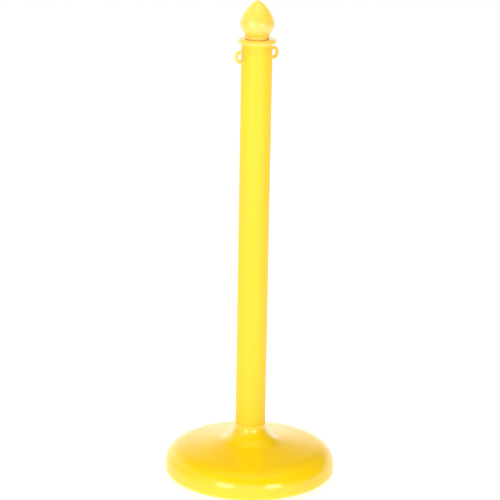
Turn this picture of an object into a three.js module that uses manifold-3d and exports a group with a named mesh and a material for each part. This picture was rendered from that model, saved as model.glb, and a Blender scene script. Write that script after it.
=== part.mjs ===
// A free-standing plastic delineator post that carries a barrier chain.
// Millimetres, +Z up. The origin is at the middle of the standing face, and the chain hooks lie along X.
import * as THREE from "three";
import { mergeVertices } from "three/addons/utils/BufferGeometryUtils.js";
import Module from "manifold-3d";

// Driving dimensions
const GAP = 0.3; // between pieces that touch
const WALL = 3; // moulded plastic wall

const PAD_R = 8;
const PAD_THICK = 2;
const PAD_COUNT = 4;
const PAD_CIRCLE_R = 122;
const PAD_FIRST_ANGLE = 45; // degrees from +X

const BASE_R = 179.5; // widest, at BASE_WIDE_Z
const BASE_WIDE_Z = 22.5;
const STANDING_Z = PAD_THICK + GAP; // underside of the flat ring that the pads are stuck to
const STANDING_R = 131; // its outer edge
const STANDING_INNER_R = 111;
const FLOOR_Z = 10; // underside of the raised floor inside the ring
const FLOOR_R = 104;
const SHOULDER_R = 135; // where the round shoulder meets the dished top
const SHOULDER_Z = 71;
const SHOULDER_BULGE = 32; // the more, the squarer the shoulder
const DISH_R = 70; // where the top turns up into the neck
const DISH_Z = 80;
const DISH_FALL = (DISH_Z - SHOULDER_Z) / (SHOULDER_R - DISH_R);
const NECK_TOP_Z = 122;
const FLARE = 22; // how strongly the neck's curve follows the dish and the pole at its ends

const SPIGOT_R = 25.4; // the stub that the pole stands over
const SPIGOT_TOP_Z = 205;
const SPIGOT_CHAMFER = 4;

const POLE_R = 31.75;
const POLE_BORE_R = POLE_R - WALL;
const POLE_FOOT_Z = NECK_TOP_Z + GAP;
const POLE_TOP_Z = 936;
const SLEEVE_TOP_Z = 200;

const FILL_R = 19; // bore of the fill hole
const PLUG_HEAD_R = 26;
const PLUG_HEAD_Z = 3;
const PLUG_TOP_Z = 19;
const SEAL_THICK = 2;
const LUG_REACH = 3; // how far the plug's two bayonet lugs stand out
const LUG_WIDTH = 9;
const LUG_THICK = 2.5;
const SLOT_LENGTH = 34;
const SLOT_WIDTH = 4;
const SLOT_DEPTH = 2.2;

const SAND_LEVEL_Z = 46;

const COLLAR_R = 40;
const COLLAR_TOP_Z = 946;
const COLLAR_CROWN_R = 30; // where its rounded top starts
const COLLAR_UNDER_R = 36.5; // where its rounded underside starts
const COLLAR_BORE_R = 22;
const COLLAR_SKIRT_Z = 914; // lower end of the skirt inside the pole
const COLLAR_LEDGE_Z = 928; // where the skirt thickens to the full collar

const FINIAL_R = 35.3;
const FINIAL_WIDE_Z = 976.5;
const FINIAL_NECK_R = 25;
const FINIAL_NECK_Z = 951.5;
const FINIAL_CROWN_R = 21.5; // what the curve up to the tip bends towards
const FINIAL_CROWN_Z = 1014.5;
const FINIAL_TIP_R = 3.4; // where the small round of the tip starts
const FINIAL_TIP_Z = 1024;
const FINIAL_SPIGOT_Z = 911.5;

const HOOK_EYE_Z = 912;
const HOOK_BEND_R = 10.2; // of the rod's middle line
const HOOK_BEND_X = 41.8; // centre of the bend, from the pole's axis
const HOOK_SWEEP = 165; // degrees, from the root at the bottom round to the free tip
const HOOK_ROD_R = 3.8;
const HOOK_SHOULDER_R = 5.6;
const HOOK_SHOULDER_REACH = 3.5; // how far the shoulder stands off the pole
const HOOK_ROOT_Z = HOOK_EYE_Z - HOOK_BEND_R;
const SHANK_R = 3;
const BARB_R = 4.1;
const BARB_LENGTH = 5.5;
const RETAINER_R = 6.5;
const RETAINER_THICK = 1.8;
// A flat retainer in a round bore touches it along its rim.
const RETAINER_OUTER_X = Math.sqrt(POLE_BORE_R ** 2 - RETAINER_R ** 2) - GAP;
const RETAINER_INNER_X = RETAINER_OUTER_X - RETAINER_THICK;

const ROUND = 40; // sides of the large round pieces
const SMALL_ROUND = 16; // and of the small ones

const wasm = await Module();
wasm.setup();

const plastic = (color, roughness) =>
  new THREE.MeshStandardMaterial({ color, roughness, metalness: 0 });
const POLE_YELLOW = plastic(0xfbe11a, 0.4);
const BASE_YELLOW = plastic(0xfad512, 0.35);
const WHITE_NYLON = plastic(0xe9e7df, 0.5);
const BLACK_PLASTIC = plastic(0x222224, 0.5);
const BLACK_RUBBER = plastic(0x1b1b1c, 0.85);
const DRY_SAND = plastic(0xc7ad7d, 1);

// Outlines are lists of [radius, height] pairs.

const radians = (degrees) => (degrees * Math.PI) / 180;

function arc([centreR, centreZ], [sizeR, sizeZ], from, to, steps) {
  return Array.from({ length: steps + 1 }, (_, i) => {
    const angle = radians(from + ((to - from) * i) / steps);
    return [centreR + sizeR * Math.cos(angle), centreZ + sizeZ * Math.sin(angle)];
  });
}

function curve(start, leaving, arriving, end, steps) {
  const corners = [start, leaving, arriving, end].map(([r, z]) => new THREE.Vector2(r, z));
  return new THREE.CubicBezierCurve(...corners).getPoints(steps).map((p) => [p.x, p.y]);
}

// A solid of revolution about Z. The outline runs upwards on its outer side.
function turned(outline, sides = ROUND) {
  const points = outline.map(([r, z]) => new THREE.Vector2(r, z));
  return new THREE.LatheGeometry(points, sides).rotateX(Math.PI / 2);
}

// The same for an outline that doesn't touch the axis, so it closes on itself.
const turnedRing = (outline, sides) => turned([...outline, outline[0]], sides);

// A solid of revolution about X, from [distance along X, radius] pairs.
function turnedAlongX(outline, sides = SMALL_ROUND) {
  return turned(outline.map(([x, r]) => [r, x]), sides).rotateY(Math.PI / 2);
}

const barAlongX = (radius, fromX, toX, sides) =>
  turnedAlongX([[fromX, 0], [fromX, radius], [toX, radius], [toX, 0]], sides);

// Joining and cutting

function solid(geometry) {
  const bare = geometry.clone();
  bare.deleteAttribute("normal");
  bare.deleteAttribute("uv");
  const merged = mergeVertices(bare, 1e-4);
  return new wasm.Manifold(
    new wasm.Mesh({
      numProp: 3,
      vertProperties: merged.attributes.position.array,
      triVerts: new Uint32Array(merged.index.array),
    }),
  );
}

function geometryOf(manifold) {
  const mesh = manifold.getMesh();
  const geometry = new THREE.BufferGeometry();
  geometry.setAttribute("position", new THREE.BufferAttribute(mesh.vertProperties, 3));
  geometry.setIndex(new THREE.BufferAttribute(mesh.triVerts, 1));
  geometry.computeVertexNormals();
  return geometry;
}

const cut = (geometry, tools) =>
  geometryOf(tools.reduce((left, tool) => left.subtract(solid(tool)), solid(geometry)));

const joined = (geometries) =>
  geometryOf(geometries.map(solid).reduce((whole, next) => whole.add(next)));

// Base

// The shell's section, grown inwards by `inset`: 0 gives the outer skin, WALL the inner one.
function baseSkin(inset, steps) {
  const standing = STANDING_Z + inset;
  const shoulder = SHOULDER_Z - inset;
  const wide = BASE_R - inset;
  const neck = POLE_R - inset;
  const bulge = SHOULDER_BULGE - inset;
  return [
    [FLOOR_R - inset, FLOOR_Z + inset],
    [STANDING_INNER_R - inset / 2, standing],
    ...arc([STANDING_R, BASE_WIDE_Z], [wide - STANDING_R, BASE_WIDE_Z - standing], -90, 0, steps),
    ...curve(
      [wide, BASE_WIDE_Z],
      [wide, BASE_WIDE_Z + bulge],
      [SHOULDER_R + bulge, shoulder - bulge * DISH_FALL],
      [SHOULDER_R, shoulder],
      steps,
    ).slice(1),
    ...curve(
      [DISH_R, DISH_Z - inset],
      [DISH_R - FLARE, DISH_Z + FLARE * DISH_FALL - inset],
      [neck, NECK_TOP_Z - FLARE],
      [neck, NECK_TOP_Z - inset],
      steps,
    ),
  ];
}

function baseShell() {
  const spigotBore = SPIGOT_R - WALL;
  const outer = baseSkin(0, 6);
  const inner = baseSkin(WALL, 4).reverse();
  const shell = turned([
    [0, SPIGOT_TOP_Z - WALL],
    [spigotBore, SPIGOT_TOP_Z - WALL - SPIGOT_CHAMFER],
    [spigotBore, NECK_TOP_Z - WALL],
    ...inner,
    [FILL_R, FLOOR_Z + WALL],
    [FILL_R, FLOOR_Z],
    ...outer,
    [SPIGOT_R, NECK_TOP_Z],
    [SPIGOT_R, SPIGOT_TOP_Z - SPIGOT_CHAMFER],
    [SPIGOT_R - SPIGOT_CHAMFER, SPIGOT_TOP_Z],
    [0, SPIGOT_TOP_Z],
  ]);
  // Two notches let the plug's lugs in a quarter turn away from where they lock.
  const reach = 2 * (FILL_R + LUG_REACH + GAP);
  const notches = new THREE.BoxGeometry(LUG_WIDTH + 2, reach, 3 * WALL).translate(0, 0, FLOOR_Z + WALL / 2);
  return cut(shell, [notches]);
}

function ballastSand() {
  const skin = baseSkin(WALL + GAP, 4);
  const underPlug = FILL_R + LUG_REACH + 2;
  const below = skin.filter(([r, z]) => r > SHOULDER_R && z < SAND_LEVEL_Z);
  const feet = skin.slice(0, 2);
  return turned([
    [0, PLUG_TOP_Z + GAP],
    [underPlug, PLUG_TOP_Z + GAP],
    [underPlug, FLOOR_Z + WALL + GAP],
    ...feet,
    ...below,
    [SHOULDER_R, SAND_LEVEL_Z],
    [0, SAND_LEVEL_Z],
  ]);
}

function fillPlug() {
  const underSeal = FLOOR_Z - SEAL_THICK - 2 * GAP;
  const shankR = FILL_R - GAP;
  const body = turned(
    [
      [0, PLUG_HEAD_Z],
      [PLUG_HEAD_R - 2, PLUG_HEAD_Z],
      [PLUG_HEAD_R, PLUG_HEAD_Z + 1.5],
      [PLUG_HEAD_R, underSeal],
      [shankR, underSeal],
      [shankR, PLUG_TOP_Z - 1],
      [shankR - 1, PLUG_TOP_Z],
      [0, PLUG_TOP_Z],
    ],
    ROUND / 2,
  );
  const lugs = new THREE.BoxGeometry(2 * (FILL_R + LUG_REACH), LUG_WIDTH, LUG_THICK);
  lugs.translate(0, 0, FLOOR_Z + WALL + GAP + LUG_THICK / 2);
  const slot = new THREE.BoxGeometry(SLOT_LENGTH, SLOT_WIDTH, 2 * SLOT_DEPTH).translate(0, 0, PLUG_HEAD_Z);
  return cut(joined([body, lugs]), [slot]);
}

function fillPlugSeal() {
  const top = FLOOR_Z - GAP;
  return turnedRing(
    [
      [FILL_R + 1, top - SEAL_THICK],
      [PLUG_HEAD_R - 0.5, top - SEAL_THICK],
      [PLUG_HEAD_R - 0.5, top],
      [FILL_R + 1, top],
    ],
    ROUND / 2,
  );
}

function footPad() {
  return turned(
    [
      [0, 0],
      [PAD_R - 1, 0],
      [PAD_R, 0.8],
      [PAD_R, PAD_THICK],
      [0, PAD_THICK],
    ],
    SMALL_ROUND,
  );
}

// Pole and what it stands on

function neckSleeve() {
  const outer = POLE_BORE_R - GAP;
  const bore = SPIGOT_R + GAP;
  return turnedRing([
    [bore, POLE_FOOT_Z],
    [outer, POLE_FOOT_Z],
    [outer, SLEEVE_TOP_Z - 1],
    [outer - 1, SLEEVE_TOP_Z],
    [bore, SLEEVE_TOP_Z],
  ]);
}

function pole() {
  const tube = turnedRing([
    [POLE_BORE_R, POLE_FOOT_Z],
    [POLE_R, POLE_FOOT_Z],
    [POLE_R, POLE_TOP_Z],
    [POLE_BORE_R, POLE_TOP_Z],
  ]);
  const shankHoles = barAlongX(SHANK_R + GAP, -POLE_R - WALL, POLE_R + WALL).translate(0, 0, HOOK_ROOT_Z);
  return cut(tube, [shankHoles]);
}

// Top of the pole

function collar() {
  const skirtR = POLE_BORE_R - GAP;
  const skirtBoreR = skirtR - WALL;
  const under = POLE_TOP_Z + GAP;
  const middle = (under + COLLAR_TOP_Z) / 2;
  const half = middle - under;
  return turnedRing([
    [skirtBoreR, COLLAR_SKIRT_Z],
    [skirtR, COLLAR_SKIRT_Z],
    [skirtR, under],
    ...arc([COLLAR_UNDER_R, middle], [COLLAR_R - COLLAR_UNDER_R, half], -90, 0, 3),
    ...arc([COLLAR_CROWN_R, middle], [COLLAR_R - COLLAR_CROWN_R, half], 0, 90, 5).slice(1),
    [COLLAR_BORE_R, COLLAR_TOP_Z],
    [COLLAR_BORE_R, COLLAR_LEDGE_Z],
    [skirtBoreR, COLLAR_LEDGE_Z - WALL],
  ]);
}

function finial() {
  const wide = [FINIAL_R, FINIAL_WIDE_Z];
  const neck = [FINIAL_NECK_R, FINIAL_NECK_Z];
  const tip = [FINIAL_TIP_R, FINIAL_TIP_Z - 1];
  const foot = COLLAR_TOP_Z + GAP;
  const spigotR = COLLAR_BORE_R - GAP;
  const boreR = spigotR - WALL;
  const hollowTop = FINIAL_TIP_Z - 4 * WALL;
  return turned([
    [0, hollowTop],
    ...curve([3, hollowTop - 1], [16, hollowTop - 8], [FINIAL_R - WALL, FINIAL_WIDE_Z + 10],
      [FINIAL_R - WALL, FINIAL_WIDE_Z], 3),
    [boreR, FINIAL_NECK_Z],
    [boreR, FINIAL_SPIGOT_Z],
    [spigotR - 1, FINIAL_SPIGOT_Z],
    [spigotR, FINIAL_SPIGOT_Z + 2],
    [spigotR, foot],
    [FINIAL_NECK_R - 0.8, foot],
    [FINIAL_NECK_R, foot + 0.8],
    ...curve(neck, [FINIAL_NECK_R + 0.6, FINIAL_NECK_Z + 4.5], [FINIAL_R, FINIAL_WIDE_Z - 8], wide, 5),
    ...curve(wide, [FINIAL_R, FINIAL_WIDE_Z + 12], [FINIAL_CROWN_R, FINIAL_CROWN_Z], tip, 8).slice(1),
    [0, FINIAL_TIP_Z],
  ]);
}

// Chain hooks. Each is made on the +X side.

class HookBend extends THREE.Curve {
  getPoint(t, target = new THREE.Vector3()) {
    const angle = radians(HOOK_SWEEP * t - 90);
    const x = HOOK_BEND_X + HOOK_BEND_R * Math.cos(angle);
    const z = HOOK_EYE_Z + HOOK_BEND_R * Math.sin(angle);
    return target.set(x, 0, z);
  }
}

function chainHook() {
  const section = new THREE.Shape().absarc(0, 0, HOOK_ROD_R, 0, 2 * Math.PI);
  const bend = new HookBend();
  const rod = new THREE.ExtrudeGeometry(section, {
    extrudePath: bend,
    steps: 12,
    curveSegments: SMALL_ROUND / 2,
  });
  const end = bend.getPoint(1);
  const tip = new THREE.SphereGeometry(HOOK_ROD_R, SMALL_ROUND, SMALL_ROUND / 2);
  tip.translate(end.x, end.y, end.z);

  // The shoulder's inner face is hollowed to the pole's round.
  const shoulderEnd = POLE_R + HOOK_SHOULDER_REACH;
  const shoulder = turnedAlongX([
    [POLE_R - WALL, 0],
    [POLE_R - WALL, HOOK_SHOULDER_R],
    [POLE_R + 1, HOOK_SHOULDER_R],
    [shoulderEnd, HOOK_ROD_R],
    [HOOK_BEND_X + 0.4, HOOK_ROD_R],
    [HOOK_BEND_X + 0.4, 0],
  ]).translate(0, 0, HOOK_ROOT_Z);
  const poleOutside = new THREE.CylinderGeometry(POLE_R + GAP, POLE_R + GAP, 40, ROUND)
    .rotateX(Math.PI / 2)
    .translate(0, 0, HOOK_ROOT_Z);

  const barbBack = RETAINER_INNER_X - GAP;
  const shank = turnedAlongX([
    [barbBack - BARB_LENGTH, 0],
    [barbBack - BARB_LENGTH, SHANK_R - 0.8],
    [barbBack, BARB_R],
    [barbBack, SHANK_R],
    [shoulderEnd, SHANK_R],
    [shoulderEnd, 0],
  ]).translate(0, 0, HOOK_ROOT_Z);

  return joined([cut(shoulder, [poleOutside]), shank, rod, tip]);
}

function hookRetainer() {
  const bore = SHANK_R + GAP;
  const ring = [
    [RETAINER_INNER_X, bore],
    [RETAINER_INNER_X, RETAINER_R],
    [RETAINER_OUTER_X, RETAINER_R],
    [RETAINER_OUTER_X, bore],
  ];
  return turnedAlongX([...ring, ring[0]]).translate(0, 0, HOOK_ROOT_Z);
}

// Assembly

const post = new THREE.Group();

function add(name, geometry, material, parent = post) {
  const mesh = new THREE.Mesh(geometry, material);
  mesh.name = name;
  parent.add(mesh);
  return mesh;
}

add("base_shell", baseShell(), BASE_YELLOW);
add("ballast_sand", ballastSand(), DRY_SAND);
add("fill_plug", fillPlug(), BLACK_PLASTIC);
add("fill_plug_seal", fillPlugSeal(), BLACK_RUBBER);
for (let i = 0; i < PAD_COUNT; i++) {
  const angle = radians(PAD_FIRST_ANGLE + (360 * i) / PAD_COUNT);
  const pad = add(`foot_pad_${i + 1}`, footPad(), BLACK_RUBBER);
  pad.position.set(PAD_CIRCLE_R * Math.cos(angle), PAD_CIRCLE_R * Math.sin(angle), 0);
}
add("neck_sleeve", neckSleeve(), WHITE_NYLON);
add("pole", pole(), POLE_YELLOW);
add("collar", collar(), POLE_YELLOW);
add("finial", finial(), POLE_YELLOW);
for (const [side, turn] of [["right", 0], ["left", Math.PI]]) {
  const fittings = new THREE.Group();
  fittings.rotation.z = turn;
  post.add(fittings);
  add(`chain_hook_${side}`, chainHook(), POLE_YELLOW, fittings);
  add(`hook_retainer_${side}`, hookRetainer(), WHITE_NYLON, fittings);
}

export default post;
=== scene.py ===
"""A yellow plastic delineator post on a plain pale floor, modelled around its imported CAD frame.

Metres, +Z up. The main lengths are the CAD's own, and the pieces' boxes come from the frame.
"""

import math

import bmesh
import bpy
from mathutils import Matrix, Vector


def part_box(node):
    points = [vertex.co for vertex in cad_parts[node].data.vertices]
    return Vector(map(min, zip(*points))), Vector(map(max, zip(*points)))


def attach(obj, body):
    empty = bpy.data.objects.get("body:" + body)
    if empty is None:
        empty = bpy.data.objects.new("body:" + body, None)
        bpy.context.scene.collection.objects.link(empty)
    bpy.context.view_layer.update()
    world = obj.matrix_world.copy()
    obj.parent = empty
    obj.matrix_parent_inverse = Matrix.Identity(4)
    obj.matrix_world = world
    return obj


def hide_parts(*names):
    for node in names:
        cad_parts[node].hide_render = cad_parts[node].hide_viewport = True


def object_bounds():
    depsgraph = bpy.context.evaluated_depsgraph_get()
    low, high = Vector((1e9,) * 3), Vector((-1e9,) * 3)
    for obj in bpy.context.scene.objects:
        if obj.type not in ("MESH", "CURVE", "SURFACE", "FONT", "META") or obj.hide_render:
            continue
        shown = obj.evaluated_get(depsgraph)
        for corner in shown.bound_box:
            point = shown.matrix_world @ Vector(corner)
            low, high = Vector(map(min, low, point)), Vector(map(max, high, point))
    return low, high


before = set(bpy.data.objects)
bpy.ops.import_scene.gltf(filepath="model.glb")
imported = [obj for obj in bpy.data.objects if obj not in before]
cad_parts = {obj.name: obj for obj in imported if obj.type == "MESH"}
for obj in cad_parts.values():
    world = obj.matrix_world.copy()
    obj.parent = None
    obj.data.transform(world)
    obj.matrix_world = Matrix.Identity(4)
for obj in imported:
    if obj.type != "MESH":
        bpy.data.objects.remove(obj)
cad_low, cad_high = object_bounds()

# Camera: the viewing angle, and how the picture is framed
CAMERA_AZIMUTH = -37.0  # degrees; the left hook comes towards the camera
CAMERA_ELEVATION = 16.5
CAMERA_DISTANCE = 5.2
CAMERA_LENS_MM = 180.7
CAMERA_ROLL = 1.0  # degrees, so that the post leans a little to the right
AIM_BELOW_MIDDLE = 0.0125
AIM_LEFT = 0.0069

# Studio
SOFTBOX_ANGLE = 31.5  # degrees either side of the camera
SOFTBOX_DISTANCE = 5.1
SOFTBOX_SIZE = 1.8
SOFTBOX_HEIGHT = 1.0
SOFTBOX_WATTS = 48.0
OVERHEAD_HEIGHT = 3.2
OVERHEAD_SIZE = 3.0
OVERHEAD_WATTS = 90.0
BACKDROP_LIGHT = 1.6
CEILING_LIGHT = 0.1
BACKDROP_TILT = 0.25  # the backdrop is lower on the right of the camera than on the left
BACKDROP_TOP = 7.0  # degrees up, where the white backdrop starts to fade into the ceiling
CEILING_START = 39.0
WINGS_START = 0.6  # how far a direction points sideways, from 0 to 1, where the backdrop dims
WINGS_LIGHT = 0.35  # the part of the light left at the far sides
FLOOR_SIZE = 40.0
FLOOR_GLOW = 0.76

# Linear colours
YELLOW = (0.955, 0.62, 0.003)
YELLOW_DEEP = (0.94, 0.585, 0.002)
FITTING_YELLOW = (0.95, 0.63, 0.06)
FITTING_YELLOW_DEEP = (0.94, 0.59, 0.05)

# Walls and gaps, as in the CAD
GAP = 0.0003
WALL = 0.003

# Smoothing, in degrees
SHARP_EDGE = 35  # faces that meet at more than this keep a hard edge
SHARP_CORNER = 25  # an outline that turns by more than this is softened there


def aim_camera():
    middle = (cad_low + cad_high) / 2
    azimuth, elevation = math.radians(CAMERA_AZIMUTH), math.radians(CAMERA_ELEVATION)
    back = Vector(
        (
            math.sin(azimuth) * math.cos(elevation),
            -math.cos(azimuth) * math.cos(elevation),
            math.sin(elevation),
        )
    )
    level_right = Vector((math.cos(azimuth), math.sin(azimuth), 0))
    level_up = back.cross(level_right)
    roll = math.radians(CAMERA_ROLL)
    right = level_right * math.cos(roll) + level_up * math.sin(roll)
    up = back.cross(right)
    aim = middle - Vector((0, 0, AIM_BELOW_MIDDLE)) - level_right * AIM_LEFT
    camera = bpy.data.objects.new("camera", bpy.data.cameras.new("camera"))
    camera.data.lens = CAMERA_LENS_MM
    camera.data.sensor_width = 36
    camera.data.clip_end = 100
    place = Matrix((right, up, back)).transposed().to_4x4()
    place.translation = aim + back * CAMERA_DISTANCE
    camera.matrix_world = place
    bpy.context.collection.objects.link(camera)
    bpy.context.scene.camera = camera


# Outlines. Each is a list of (radius, height) points.


def arc(centre, size, start, end, steps):
    angles = [math.radians(start + (end - start) * i / steps) for i in range(steps + 1)]
    return [(centre[0] + size[0] * math.cos(a), centre[1] + size[1] * math.sin(a)) for a in angles]


def curve(start, leaving, arriving, end, steps):
    points = []
    for i in range(steps + 1):
        t = i / steps
        weights = ((1 - t) ** 3, 3 * t * (1 - t) ** 2, 3 * t * t * (1 - t), t**3)
        corners = (start, leaving, arriving, end)
        points.append(tuple(sum(w * c[k] for w, c in zip(weights, corners)) for k in (0, 1)))
    return points


def softened(outline, radius, closed=False, steps=4):
    """The outline with each sharp corner turned into a small curve."""
    made = []
    for i, here in enumerate(outline):
        if i in (0, len(outline) - 1) and not closed:
            made.append(here)
            continue
        corner = Vector(here)
        before = Vector(outline[i - 1]) - corner
        after = Vector(outline[(i + 1) % len(outline)]) - corner
        if math.pi - before.angle(after) < math.radians(SHARP_CORNER):
            made.append(here)
            continue
        reach = min(radius, before.length * 0.45, after.length * 0.45)
        first = corner + before.normalized() * reach
        last = corner + after.normalized() * reach
        for k in range(steps + 1):
            t = k / steps
            made.append(tuple(first * (1 - t) ** 2 + corner * (2 * t * (1 - t)) + last * t * t))
    return made


# Solids


def band(shape, lower, upper):
    """Faces between two rings of vertices. A ring of one vertex closes to a point."""
    sides = max(len(lower), len(upper))
    for i in range(sides):
        j = (i + 1) % sides
        if len(lower) == 1:
            shape.faces.new((lower[0], upper[j], upper[i]))
        elif len(upper) == 1:
            shape.faces.new((lower[i], lower[j], upper[0]))
        else:
            shape.faces.new((lower[i], lower[j], upper[j], upper[i]))


def turned_shape(outline, closed=False, sides=128, mould_line=0.0):
    """A solid of revolution about Z. mould_line is how far a fine ridge stands out at either side, in X."""
    shape = bmesh.new()
    rings = []
    for radius, height in outline:
        if radius == 0:
            rings.append([shape.verts.new((0, 0, height))])
            continue
        ring = []
        for i in range(sides):
            angle = 2 * math.pi * i / sides
            reach = radius + (mould_line if i % (sides // 2) == 0 else 0)
            ring.append(shape.verts.new((reach * math.cos(angle), reach * math.sin(angle), height)))
        rings.append(ring)
    pairs = list(zip(rings, rings[1:]))
    if closed:
        pairs.append((rings[-1], rings[0]))
    for lower, upper in pairs:
        band(shape, lower, upper)
    return shape


def along_x(shape, height):
    """Lays a solid of revolution down, so that its heights run along +X, at the given height."""
    turn = Matrix.Rotation(math.pi / 2, 4, "Y")
    bmesh.ops.transform(shape, matrix=Matrix.Translation((0, 0, height)) @ turn, verts=shape.verts)
    return shape


def merged(shapes):
    whole = bmesh.new()
    for shape in shapes:
        part = bpy.data.meshes.new("part")
        shape.to_mesh(part)
        shape.free()
        whole.from_mesh(part)
        bpy.data.meshes.remove(part)
    return whole


def piece_from(name, shape):
    bmesh.ops.recalc_face_normals(shape, faces=shape.faces)
    mesh = bpy.data.meshes.new(name)
    shape.to_mesh(mesh)
    shape.free()
    mesh.shade_smooth()
    mesh.set_sharp_from_angle(angle=math.radians(SHARP_EDGE))
    piece = bpy.data.objects.new(name, mesh)
    bpy.context.collection.objects.link(piece)
    return piece


def cut_away(piece, tool):
    """Subtracts one piece from another, and drops the tool."""
    step = piece.modifiers.new("cut", "BOOLEAN")
    step.object = tool
    step.solver = "EXACT"
    seen = bpy.context.evaluated_depsgraph_get()
    mesh = bpy.data.meshes.new_from_object(piece.evaluated_get(seen))
    piece.modifiers.clear()
    piece.data = mesh
    mesh.set_sharp_from_angle(angle=math.radians(SHARP_EDGE))
    bpy.data.objects.remove(tool)


def box_tool(centre, size):
    shape = bmesh.new()
    bmesh.ops.create_cube(shape, size=1)
    bmesh.ops.scale(shape, vec=size, verts=shape.verts)
    bmesh.ops.translate(shape, vec=centre, verts=shape.verts)
    return piece_from("tool", shape)


def fit(piece, body, node, material):
    piece.data.materials.clear()
    piece.data.materials.append(material)
    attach(piece, body)
    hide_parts(node)


# Materials


class Finish:
    """A material's node tree, with short ways to add and join nodes."""

    def __init__(self, name):
        self.material = bpy.data.materials.new(name)
        self.material.use_nodes = True
        self.tree = self.material.node_tree
        self.inputs = self.tree.nodes["Principled BSDF"].inputs
        self.place = self.tree.nodes.new("ShaderNodeTexCoord").outputs["Object"]

    def noise(self, scale, detail=3.0, stretch=(1, 1, 1)):
        mapping = self.tree.nodes.new("ShaderNodeMapping")
        mapping.inputs["Scale"].default_value = stretch
        self.tree.links.new(self.place, mapping.inputs["Vector"])
        noise = self.tree.nodes.new("ShaderNodeTexNoise")
        noise.inputs["Scale"].default_value = scale
        noise.inputs["Detail"].default_value = detail
        self.tree.links.new(mapping.outputs["Vector"], noise.inputs["Vector"])
        return noise.outputs["Fac"]

    def remap(self, value, low, high):
        """Stretches the middle of a noise to the range low to high."""
        node = self.tree.nodes.new("ShaderNodeMapRange")
        node.inputs["From Min"].default_value = 0.3
        node.inputs["From Max"].default_value = 0.7
        node.inputs["To Min"].default_value = low
        node.inputs["To Max"].default_value = high
        self.tree.links.new(value, node.inputs["Value"])
        return node.outputs["Result"]

    def mix(self, factor, first, second):
        node = self.tree.nodes.new("ShaderNodeMix")
        node.data_type = "RGBA"
        for target, colour in ((node.inputs["A"], first), (node.inputs["B"], second)):
            if isinstance(colour, tuple):
                target.default_value = (*colour, 1)
            else:
                self.tree.links.new(colour, target)
        self.tree.links.new(factor, node.inputs["Factor"])
        return node.outputs["Result"]

    def set(self, name, value):
        if isinstance(value, (int, float, tuple)):
            self.inputs[name].default_value = value
        else:
            self.tree.links.new(value, self.inputs[name])

    def bump(self, *layers):
        """Each layer is (height, strength, depth in metres)."""
        normal = None
        for height, strength, depth in layers:
            node = self.tree.nodes.new("ShaderNodeBump")
            node.inputs["Strength"].default_value = strength
            node.inputs["Distance"].default_value = depth
            self.tree.links.new(height, node.inputs["Height"])
            if normal is not None:
                self.tree.links.new(normal, node.inputs["Normal"])
            normal = node.outputs["Normal"]
        self.tree.links.new(normal, self.inputs["Normal"])


def moulded_plastic(name, colour, deep, roughness, gloss=0.5, wave=0.2, polish=0.0):
    """Cloudy pigment, slight waves from the mould, a faint orange peel and a soft polish over it all."""
    finish = Finish(name)
    clouds = finish.remap(finish.noise(9.0, 4.0), 0, 1)
    specks = finish.remap(finish.noise(700.0, 2.0), 0, 0.2)
    finish.set("Base Color", finish.mix(specks, finish.mix(clouds, colour, deep), deep))
    finish.set("Roughness", finish.remap(finish.noise(45.0, 4.0), roughness - 0.03, roughness + 0.04))
    finish.set("Specular IOR Level", gloss)
    finish.set("Coat Weight", polish)
    finish.set("Coat Roughness", 0.3)
    finish.bump((finish.noise(30.0, 2.0), wave, 0.0006), (finish.noise(420.0, 2.0), 0.15, 0.0001))
    return finish.material


def drawn_plastic(name, colour, deep, roughness):
    """An extruded tube: cloudy pigment with fine streaks along its length."""
    finish = Finish(name)
    clouds = finish.remap(finish.noise(6.0, 3.0, stretch=(1, 1, 0.3)), 0, 1)
    streaks = finish.noise(260.0, 3.0, stretch=(1, 1, 0.01))
    finish.set("Base Color", finish.mix(clouds, colour, deep))
    finish.set("Roughness", finish.remap(streaks, roughness - 0.04, roughness + 0.06))
    finish.set("Specular IOR Level", 0.6)
    finish.bump((streaks, 0.3, 0.0001), (finish.noise(500.0, 2.0), 0.15, 0.0001))
    return finish.material


def black_rubber():
    finish = Finish("black rubber")
    finish.set("Base Color", finish.mix(finish.noise(90.0), (0.012, 0.012, 0.013), (0.035, 0.034, 0.033)))
    finish.set("Roughness", finish.remap(finish.noise(60.0), 0.7, 0.9))
    finish.bump((finish.noise(900.0), 0.4, 0.0002))
    return finish.material


def sand_grains():
    finish = Finish("dry sand")
    grains = finish.noise(1400.0, 5.0)
    finish.set("Base Color", finish.mix(grains, (0.42, 0.31, 0.18), (0.72, 0.6, 0.42)))
    finish.set("Roughness", finish.remap(grains, 0.85, 1.0))
    finish.bump((grains, 1.0, 0.0006), (finish.noise(120.0), 0.5, 0.002))
    return finish.material


base_plastic = moulded_plastic("base polyethylene", YELLOW, YELLOW_DEEP, 0.13, 0.65)
tube_plastic = drawn_plastic("tube polyethylene", YELLOW, YELLOW_DEEP, 0.48)
fitting_plastic = moulded_plastic(
    "fittings polyethylene", FITTING_YELLOW, FITTING_YELLOW_DEEP, 0.3, 1.0, wave=0.1, polish=0.6
)
white_nylon = moulded_plastic("white nylon", (0.8, 0.79, 0.75), (0.74, 0.73, 0.68), 0.45)
black_plastic = moulded_plastic("black polypropylene", (0.02, 0.02, 0.021), (0.03, 0.03, 0.03), 0.4)
rubber = black_rubber()
dry_sand = sand_grains()


# Sizes of the pieces, from the frame and the CAD's own dimensions

base_low, base_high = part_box("base_shell")
pole_low, pole_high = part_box("pole")
BASE_R = base_high.x
POLE_R = pole_high.x
POLE_BORE_R = POLE_R - WALL
POLE_FOOT_Z = pole_low.z
POLE_TOP_Z = pole_high.z
NECK_TOP_Z = POLE_FOOT_Z - GAP

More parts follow.
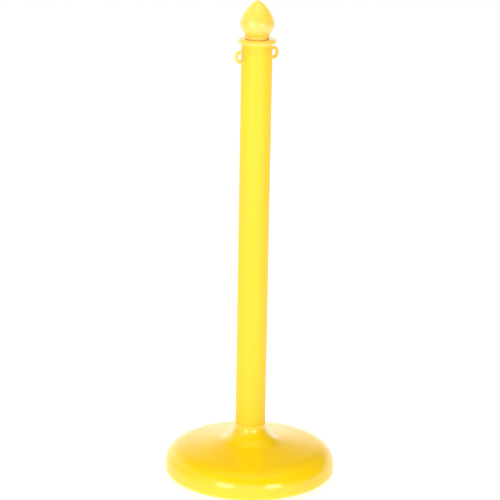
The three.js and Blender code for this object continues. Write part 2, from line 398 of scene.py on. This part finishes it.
BASE_WIDE_Z = 0.0225
STANDING_Z = base_low.z
STANDING_R = 0.131
STANDING_INNER_R = 0.111
FLOOR_R = 0.104
FLOOR_Z = 0.010
SHOULDER_R = 0.135
SHOULDER_Z = 0.071
SHOULDER_BULGE = 0.032
DISH_R = 0.070
DISH_Z = 0.080
DISH_FALL = (DISH_Z - SHOULDER_Z) / (SHOULDER_R - DISH_R)
FLARE = 0.022  # how strongly the neck's curve follows the dish and the pole at its ends
SPIGOT_R = 0.0254
SPIGOT_CHAMFER = 0.004
SPIGOT_TOP_Z = base_high.z
FILL_R = 0.019
SLOT_LENGTH = 0.034
SLOT_WIDTH = 0.004
SLOT_DEPTH = 0.0022


# Base


def base_skin(inset, steps):
    """The shell's section, grown inwards by inset: 0 gives the outer skin, WALL the inner one."""
    standing = STANDING_Z + inset
    shoulder = SHOULDER_Z - inset
    wide = BASE_R - inset
    neck = POLE_R - inset
    bulge = SHOULDER_BULGE - inset
    return [
        (FLOOR_R - inset, FLOOR_Z + inset),
        (STANDING_INNER_R - inset / 2, standing),
        *arc((STANDING_R, BASE_WIDE_Z), (wide - STANDING_R, BASE_WIDE_Z - standing), -90, 0, steps),
        *curve(
            (wide, BASE_WIDE_Z),
            (wide, BASE_WIDE_Z + bulge),
            (SHOULDER_R + bulge, shoulder - bulge * DISH_FALL),
            (SHOULDER_R, shoulder),
            steps,
        )[1:],
        *curve(
            (DISH_R, DISH_Z - inset),
            (DISH_R - FLARE, DISH_Z + FLARE * DISH_FALL - inset),
            (neck, NECK_TOP_Z - FLARE),
            (neck, NECK_TOP_Z - inset),
            steps,
        ),
    ]


def moulded_base():
    spigot_bore = SPIGOT_R - WALL
    outline = [
        (0, SPIGOT_TOP_Z - WALL),
        (spigot_bore, SPIGOT_TOP_Z - WALL - SPIGOT_CHAMFER),
        (spigot_bore, NECK_TOP_Z - WALL),
        *reversed(base_skin(WALL, 16)),
        (FILL_R, FLOOR_Z + WALL),
        (FILL_R, FLOOR_Z),
        *base_skin(0, 32),
        (SPIGOT_R, NECK_TOP_Z),
        (SPIGOT_R, SPIGOT_TOP_Z - SPIGOT_CHAMFER),
        (SPIGOT_R - SPIGOT_CHAMFER, SPIGOT_TOP_Z),
        (0, SPIGOT_TOP_Z),
    ]
    piece = piece_from("moulded_base", turned_shape(softened(outline, 0.001), sides=192))
    fit(piece, "base", "base_shell", base_plastic)


def sand_fill():
    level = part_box("ballast_sand")[1].z
    plug_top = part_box("fill_plug")[1].z
    around_plug = FILL_R + 0.005
    skin = base_skin(WALL + GAP, 12)
    outline = [
        (0, plug_top + GAP),
        (around_plug, plug_top + GAP),
        (around_plug, FLOOR_Z + WALL + GAP),
        *skin[:2],
        *((r, z) for r, z in skin[2:] if r > SHOULDER_R and z < level),
        (SHOULDER_R, level),
        (0, level),
    ]
    piece = piece_from("sand_fill", turned_shape(softened(outline, 0.002), sides=96))
    fit(piece, "base", "ballast_sand", dry_sand)


def plug():
    low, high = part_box("fill_plug")
    head_r = high.y
    head_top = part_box("fill_plug_seal")[0].z - GAP
    shank_r = FILL_R - GAP
    outline = [
        (0, low.z),
        (head_r - 0.0018, low.z),
        (head_r, low.z + 0.0015),
        (head_r, head_top),
        (shank_r, head_top),
        (shank_r, high.z - 0.001),
        (shank_r - 0.001, high.z),
        (0, high.z),
    ]
    piece = piece_from("plug", turned_shape(softened(outline, 0.0005), sides=96))
    cut_away(piece, box_tool((0, 0, low.z), (SLOT_LENGTH, SLOT_WIDTH, 2 * SLOT_DEPTH)))
    fit(piece, "plug", "fill_plug", black_plastic)


def plug_seal():
    low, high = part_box("fill_plug_seal")
    middle = (low.z + high.z) / 2
    half = (high.z - low.z) / 2
    inner = FILL_R + 0.001
    outline = [
        (inner, low.z),
        *arc((high.x - half, middle), (half, half), -90, 90, 8),
        (inner, high.z),
    ]
    piece = piece_from("plug_seal", turned_shape(outline, closed=True, sides=96))
    fit(piece, "plug", "fill_plug_seal", rubber)


def foot_pad(number):
    node = f"foot_pad_{number}"
    low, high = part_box(node)
    radius = (high.x - low.x) / 2
    groove_r = radius * 0.6
    groove_half = 0.0006
    outline = [
        (0, low.z),
        (groove_r - groove_half, low.z),
        (groove_r, low.z + 0.0005),
        (groove_r + groove_half, low.z),
        (radius - 0.001, low.z),
        (radius, low.z + 0.0008),
        (radius, high.z),
        (0, high.z),
    ]
    shape = turned_shape(softened(outline, 0.0004), sides=48)
    centre = (low + high) / 2
    bmesh.ops.translate(shape, vec=(centre.x, centre.y, 0), verts=shape.verts)
    fit(piece_from(f"pad_{number}", shape), "base", node, rubber)


# Pole


def sleeve_liner():
    low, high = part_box("neck_sleeve")
    bore = SPIGOT_R + GAP
    outline = [(bore, low.z), (high.x, low.z), (high.x, high.z), (bore, high.z)]
    shape = turned_shape(softened(outline, 0.001, closed=True), closed=True, sides=96)
    fit(piece_from("sleeve_liner", shape), "sleeve", "neck_sleeve", white_nylon)


def pole_tube():
    outline = [
        (POLE_BORE_R, POLE_FOOT_Z),
        (POLE_R, POLE_FOOT_Z),
        (POLE_R, POLE_TOP_Z),
        (POLE_BORE_R, POLE_TOP_Z),
    ]
    shape = turned_shape(softened(outline, 0.0008, closed=True), closed=True, sides=144)
    piece = piece_from("pole_tube", shape)
    hole_r = SHANK_R + GAP
    past = 2 * POLE_R
    hole = [(0, -past), (hole_r, -past), (hole_r, past), (0, past)]
    cut_away(piece, piece_from("tool", along_x(turned_shape(hole, sides=48), HOOK_ROOT_Z)))
    fit(piece, "post", "pole", tube_plastic)


# Top of the pole

COLLAR_CROWN_R = 0.030  # where its rounded top starts
COLLAR_UNDER_R = 0.0365  # where its rounded underside starts
COLLAR_BORE_R = 0.022
COLLAR_LEDGE_Z = 0.928  # where the skirt thickens to the full collar
FINIAL_WIDE_Z = 0.9765
FINIAL_NECK_R = 0.025
FINIAL_NECK_Z = 0.9515
FINIAL_CROWN_R = 0.0215  # what the curve up to the tip bends towards
FINIAL_CROWN_Z = 1.0145
FINIAL_TIP_R = 0.0034
FINIAL_TIP_ROUND = 0.0012
MOULD_LINE = 0.00006


def collar_bead():
    low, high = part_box("collar")
    skirt_r = POLE_BORE_R - GAP
    skirt_bore = skirt_r - WALL
    under = POLE_TOP_Z + GAP
    middle = (under + high.z) / 2
    half = middle - under
    outline = [
        (skirt_bore, low.z),
        (skirt_r, low.z),
        (skirt_r, under),
        *arc((COLLAR_UNDER_R, middle), (high.x - COLLAR_UNDER_R, half), -90, 0, 10),
        *arc((COLLAR_CROWN_R, middle), (high.x - COLLAR_CROWN_R, half), 0, 90, 16)[1:],
        (COLLAR_BORE_R, high.z),
        (COLLAR_BORE_R, COLLAR_LEDGE_Z),
        (skirt_bore, COLLAR_LEDGE_Z - WALL),
    ]
    shape = turned_shape(softened(outline, 0.0006, closed=True), closed=True, sides=128)
    fit(piece_from("collar_bead", shape), "post", "collar", fitting_plastic)


def acorn_finial():
    low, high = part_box("finial")
    wide = (high.y, FINIAL_WIDE_Z)
    neck = (FINIAL_NECK_R, FINIAL_NECK_Z)
    tip = (FINIAL_TIP_R, high.z - 0.001)
    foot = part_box("collar")[1].z + GAP
    spigot_r = COLLAR_BORE_R - GAP
    bore = spigot_r - WALL
    hollow_top = high.z - 4 * WALL
    hollow_r = high.y - WALL
    outline = [
        (0, hollow_top),
        *curve(
            (0.003, hollow_top - 0.001),
            (0.016, hollow_top - 0.008),
            (hollow_r, FINIAL_WIDE_Z + 0.01),
            (hollow_r, FINIAL_WIDE_Z),
            12,
        ),
        (bore, FINIAL_NECK_Z),
        (bore, low.z),
        (spigot_r - 0.001, low.z),
        (spigot_r, low.z + 0.002),
        (spigot_r, foot),
        (FINIAL_NECK_R, foot),
        *curve(
            neck,
            (FINIAL_NECK_R + 0.0006, FINIAL_NECK_Z + 0.0045),
            (high.y, FINIAL_WIDE_Z - 0.008),
            wide,
            20,
        ),
        *curve(wide, (high.y, FINIAL_WIDE_Z + 0.012), (FINIAL_CROWN_R, FINIAL_CROWN_Z), tip, 28)[1:],
        *arc((0, high.z - FINIAL_TIP_ROUND), (FINIAL_TIP_R - 0.0006, FINIAL_TIP_ROUND), 45, 90, 6)[:-1],
        (0, high.z),
    ]
    shape = turned_shape(softened(outline, 0.0008), sides=128, mould_line=MOULD_LINE)
    fit(piece_from("acorn_finial", shape), "top", "finial", fitting_plastic)


# Chain hooks, each made on the +X side

HOOK_EYE_Z = 0.912
HOOK_BEND_R = 0.0102  # of the rod's middle line
HOOK_BEND_X = 0.0418  # centre of the bend, from the pole's axis
HOOK_SWEEP = 165  # degrees, from the root at the bottom round to the free tip
HOOK_ROD_R = 0.0038
HOOK_SHOULDER_R = 0.0056
HOOK_SHOULDER_REACH = 0.0035  # how far the shoulder stands off the pole
HOOK_ROOT_Z = HOOK_EYE_Z - HOOK_BEND_R
SHANK_R = 0.003
BARB_R = 0.0041
BARB_LENGTH = 0.0055


def bent_rod(sides=32, steps=40):
    """The open ring of the hook, from its root at the bottom round to a rounded tip.

    Each section is (degrees round the bend, radius, distance past the bend's end).
    """
    shape = bmesh.new()
    sections = [(HOOK_SWEEP * i / steps - 90, HOOK_ROD_R, 0.0) for i in range(steps + 1)]
    end_angle = sections[-1][0]
    tip_steps = 8
    for i in range(1, tip_steps):
        slope = math.radians(90 * i / tip_steps)
        sections.append((end_angle, HOOK_ROD_R * math.cos(slope), HOOK_ROD_R * math.sin(slope)))
    rings = []
    for degrees, radius, ahead in sections:
        angle = math.radians(degrees)
        outward = Vector((math.cos(angle), 0, math.sin(angle)))
        forward = Vector((-math.sin(angle), 0, math.cos(angle)))
        centre = Vector((HOOK_BEND_X, 0, HOOK_EYE_Z)) + outward * HOOK_BEND_R + forward * ahead
        ring = []
        for k in range(sides):
            turn = 2 * math.pi * k / sides
            across = outward * math.cos(turn) + Vector((0, 1, 0)) * math.sin(turn)
            ring.append(shape.verts.new(centre + across * radius))
        rings.append(ring)
    tip = [shape.verts.new(centre + forward * (HOOK_ROD_R - ahead))]
    root = [shape.verts.new((HOOK_BEND_X, 0, HOOK_ROOT_Z))]
    for lower, upper in zip([root, *rings], [*rings, tip]):
        band(shape, lower, upper)
    return shape


def hook_shoulder():
    """The swelling where the hook leaves the pole, and the barbed shank behind it."""
    shoulder_end = POLE_R + HOOK_SHOULDER_REACH
    barb_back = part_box("hook_retainer_right")[0].x - GAP
    outline = [
        (0, barb_back - BARB_LENGTH),
        (SHANK_R - 0.0008, barb_back - BARB_LENGTH),
        (BARB_R, barb_back),
        (SHANK_R, barb_back),
        (SHANK_R, POLE_R + GAP),
        (HOOK_SHOULDER_R, POLE_R + GAP),
        (HOOK_SHOULDER_R, POLE_R + 0.001),
        *curve(
            (HOOK_SHOULDER_R - 0.0003, POLE_R + 0.0013),
            (HOOK_ROD_R + 0.0004, POLE_R + 0.0022),
            (HOOK_ROD_R, POLE_R + 0.003),
            (HOOK_ROD_R, shoulder_end + 0.001),
            8,
        ),
        (HOOK_ROD_R, HOOK_BEND_X),
        (0, HOOK_BEND_X),
    ]
    return along_x(turned_shape(softened(outline, 0.0003), sides=32), HOOK_ROOT_Z)


def hook(side, turn):
    shape = merged([bent_rod(), hook_shoulder()])
    bmesh.ops.rotate(shape, matrix=Matrix.Rotation(turn, 3, "Z"), verts=shape.verts)
    fit(piece_from(f"hook_{side}", shape), "post", f"chain_hook_{side}", fitting_plastic)


def retainer(side, turn):
    low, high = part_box("hook_retainer_right")
    bore = SHANK_R + GAP
    outer = high.y
    outline = [(bore, low.x), (outer, low.x), (outer, high.x), (bore, high.x)]
    ring = turned_shape(softened(outline, 0.0004, closed=True), closed=True, sides=48)
    shape = along_x(ring, HOOK_ROOT_Z)
    bmesh.ops.rotate(shape, matrix=Matrix.Rotation(turn, 3, "Z"), verts=shape.verts)
    piece = piece_from(f"retainer_{side}", shape)
    fit(piece, "post", f"hook_retainer_{side}", white_nylon)


# Studio


def area_light(name, size, watts):
    data = bpy.data.lights.new(name, "AREA")
    data.size = size
    data.energy = watts
    light = bpy.data.objects.new(name, data)
    bpy.context.collection.objects.link(light)
    return light


def light_studio():
    for side in (-1, 1):
        angle = math.radians(CAMERA_AZIMUTH + side * SOFTBOX_ANGLE)
        softbox = area_light("softbox", SOFTBOX_SIZE, SOFTBOX_WATTS)
        softbox.location = (
            SOFTBOX_DISTANCE * math.sin(angle),
            -SOFTBOX_DISTANCE * math.cos(angle),
            SOFTBOX_HEIGHT,
        )
        softbox.rotation_euler = (math.pi / 2, 0, angle)
    # The overhead light is so diffuse that it leaves no highlight of its own.
    overhead = area_light("overhead", OVERHEAD_SIZE, OVERHEAD_WATTS)
    overhead.location = (0, 0, OVERHEAD_HEIGHT)
    overhead.visible_glossy = False


def world_light():
    """A white backdrop that dims to both sides, under a dark ceiling."""
    world = bpy.data.worlds.new("studio")
    world.use_nodes = True
    bpy.context.scene.world = world
    tree = world.node_tree
    background = tree.nodes["Background"]
    background.inputs["Color"].default_value = (1, 1, 1, 1)
    direction = tree.nodes.new("ShaderNodeTexCoord").outputs["Generated"]

    def along(axis):
        node = tree.nodes.new("ShaderNodeVectorMath")
        node.operation = "DOT_PRODUCT"
        node.inputs[1].default_value = axis
        tree.links.new(direction, node.inputs[0])
        return node.outputs["Value"]

    def faded(value, start, end, light, dimmed):
        node = tree.nodes.new("ShaderNodeMapRange")
        node.interpolation_type = "SMOOTHSTEP"
        settings = {"From Min": start, "From Max": end, "To Min": light, "To Max": dimmed}
        for name, setting in settings.items():
            node.inputs[name].default_value = setting
        tree.links.new(value, node.inputs["Value"])
        return node.outputs["Result"]

    def calculated(operation, *values):
        node = tree.nodes.new("ShaderNodeMath")
        node.operation = operation
        for socket, value in zip(node.inputs, values):
            tree.links.new(value, socket)
        return node.outputs["Value"]

    azimuth = math.radians(CAMERA_AZIMUTH)
    right = Vector((math.cos(azimuth), math.sin(azimuth), 0))
    height = along(BACKDROP_TILT * right + Vector((0, 0, 1)))
    top, ceiling = math.sin(math.radians(BACKDROP_TOP)), math.sin(math.radians(CEILING_START))
    backdrop = faded(height, top, ceiling, BACKDROP_LIGHT, CEILING_LIGHT)
    wings = faded(calculated("ABSOLUTE", along(right)), WINGS_START, 1, 1, WINGS_LIGHT)
    tree.links.new(calculated("MULTIPLY", backdrop, wings), background.inputs["Strength"])


def pale_floor():
    shape = bmesh.new()
    half = FLOOR_SIZE / 2
    corners = [(-half, -half, 0), (half, -half, 0), (half, half, 0), (-half, half, 0)]
    shape.faces.new([shape.verts.new(corner) for corner in corners])
    floor = piece_from("floor", shape)
    finish = Finish("pale floor")
    finish.set("Base Color", finish.mix(finish.noise(3.0), (0.59, 0.59, 0.59), (0.61, 0.61, 0.61)))
    finish.set("Roughness", 0.9)
    finish.set("Emission Color", (1, 1, 1, 1))
    finish.set("Emission Strength", FLOOR_GLOW)
    floor.data.materials.append(finish.material)


aim_camera()
light_studio()
world_light()
pale_floor()

moulded_base()
sand_fill()
plug()
plug_seal()
for pad in (1, 2, 3, 4):
    foot_pad(pad)
sleeve_liner()
pole_tube()
collar_bead()
acorn_finial()
for side, turn in (("right", 0), ("left", math.pi)):
    hook(side, turn)
    retainer(side, turn)

bpy.context.scene.view_settings.view_transform = "Standard"
